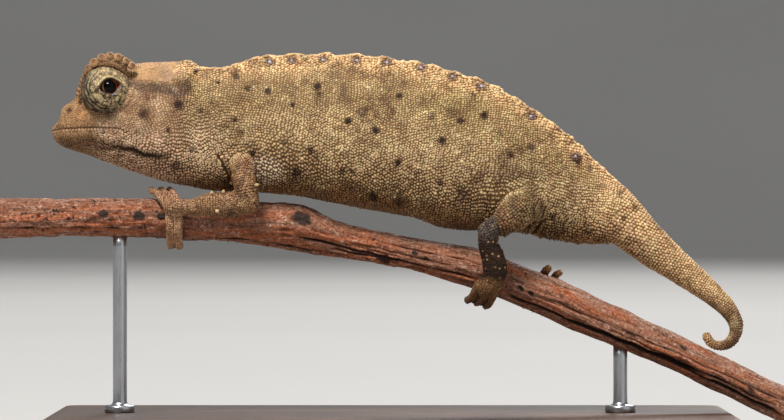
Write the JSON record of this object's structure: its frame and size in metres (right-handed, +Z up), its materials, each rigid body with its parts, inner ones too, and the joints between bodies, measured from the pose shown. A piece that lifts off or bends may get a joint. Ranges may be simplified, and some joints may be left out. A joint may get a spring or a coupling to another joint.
{
  "type": "pygmy leaf chameleon",
  "caption": "Life-size still model of a pygmy leaf chameleon walking on a cut length of branch, held over a flat base by rods.",
  "frame": {"origin": "on the table under the middle of the model: centre of the bounding box in plan, underside of the base", "axes": "+Z up, the head points along -X, the tail along +X, the left flank along -Y; the animal's middle plane is Y = 0"},
  "size_m": [0.0692, 0.028, 0.0338],
  "materials": {
    "skin": "dry matt granular reptile skin",
    "eye": "wet black and brown eye",
    "claw": "horn claw, satin",
    "perch_wood": "weathered barkless red-brown twig",
    "plinth_wood": "dark stained wood, satin oil",
    "rod_steel": "fine brushed steel"
  },
  "bodies": {
    "root": {"head_upper": "skin", "lower_jaw": "skin", "neck": "skin", "trunk_front": "skin", "trunk_rear": "skin", "tail_base": "skin", "tail_middle": "skin", "tail_tip": "skin", "eye_turret_left": "skin", "eye_turret_right": "skin", "eyeball_left": "eye", "eyeball_right": "eye", "upper_arm_left": "skin", "forearm_left": "skin", "hand_left": "skin", "upper_arm_right": "skin", "forearm_right": "skin", "hand_right": "skin", "thigh_left": "skin", "shin_left": "skin", "foot_left": "skin", "thigh_right": "skin", "shin_right": "skin", "foot_right": "skin", "perch_branch": "perch_wood", "stand_base": "plinth_wood", "stand_rod_front": "rod_steel", "stand_rod_rear": "rod_steel"}
  },
  "joints": []
}
